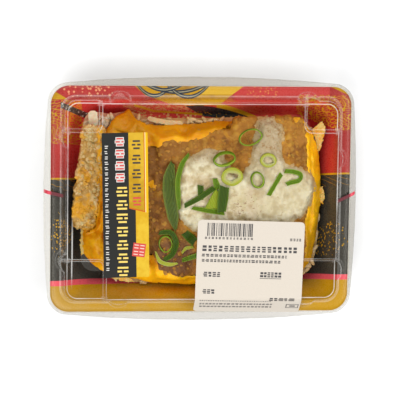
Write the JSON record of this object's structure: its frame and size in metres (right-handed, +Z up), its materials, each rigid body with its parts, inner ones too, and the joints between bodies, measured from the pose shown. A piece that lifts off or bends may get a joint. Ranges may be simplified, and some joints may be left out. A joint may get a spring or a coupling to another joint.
{
  "type": "katsudon in a shut take-away tray with a clear lid",
  "caption": "Sliced breaded cutlet on egg and rice in a shut printed tray, with a clear lid, a film band and two labels.",
  "frame": {"origin": "middle of the base, on the surface that the tray stands on", "axes": "+Z up, +X along the long side to the right as the labels read, +Y towards the back edge"},
  "size_m": [0.1978, 0.1546, 0.0497],
  "materials": {
    "printed_foam": "gloss",
    "clear_lid": "gloss",
    "clear_film": "gloss",
    "front_label": "satin",
    "price_label": "matte",
    "rice": "satin",
    "egg_yellow": "satin",
    "crust": "matte",
    "egg_white": "satin",
    "onion_green": "satin",
    "onion_pale": "satin",
    "onion_cooked": "satin"
  },
  "bodies": {
    "root": {"tray": "printed_foam", "lid": "clear_lid", "film": "clear_film", "label_front": "front_label", "label_price": "price_label", "rice": "rice", "egg_sheet": "egg_yellow", "egg_white": "egg_white", "cutlet_slice_1": "crust", "cutlet_slice_2": "crust", "cutlet_slice_3": "crust", "cutlet_slice_4": "crust", "cutlet_slice_5": "crust", "cutlet_slice_6": "crust", "ring_thin": "onion_green", "ring_rolled": "onion_green", "ring_dark": "onion_green", "ring_lower": "onion_green", "leaf_wide": "onion_green", "leaf_narrow": "onion_green", "strip_straight": "onion_green", "strip_folded": "onion_green", "strip_star_upright": "onion_green", "strip_star_slanting": "onion_green", "strip_star_low": "onion_green", "strip_star_wide": "onion_green", "strip_star_tip": "onion_green", "strip_bent": "onion_green", "strip_wedge": "onion_green", "strip_low": "onion_green", "ring_pale_large": "onion_pale", "ring_pale_small": "onion_pale", "strip_pale": "onion_pale", "strip_arc": "onion_pale", "cooked_onion_corner": "onion_cooked", "cooked_onion_back": "onion_cooked"}
  },
  "joints": []
}
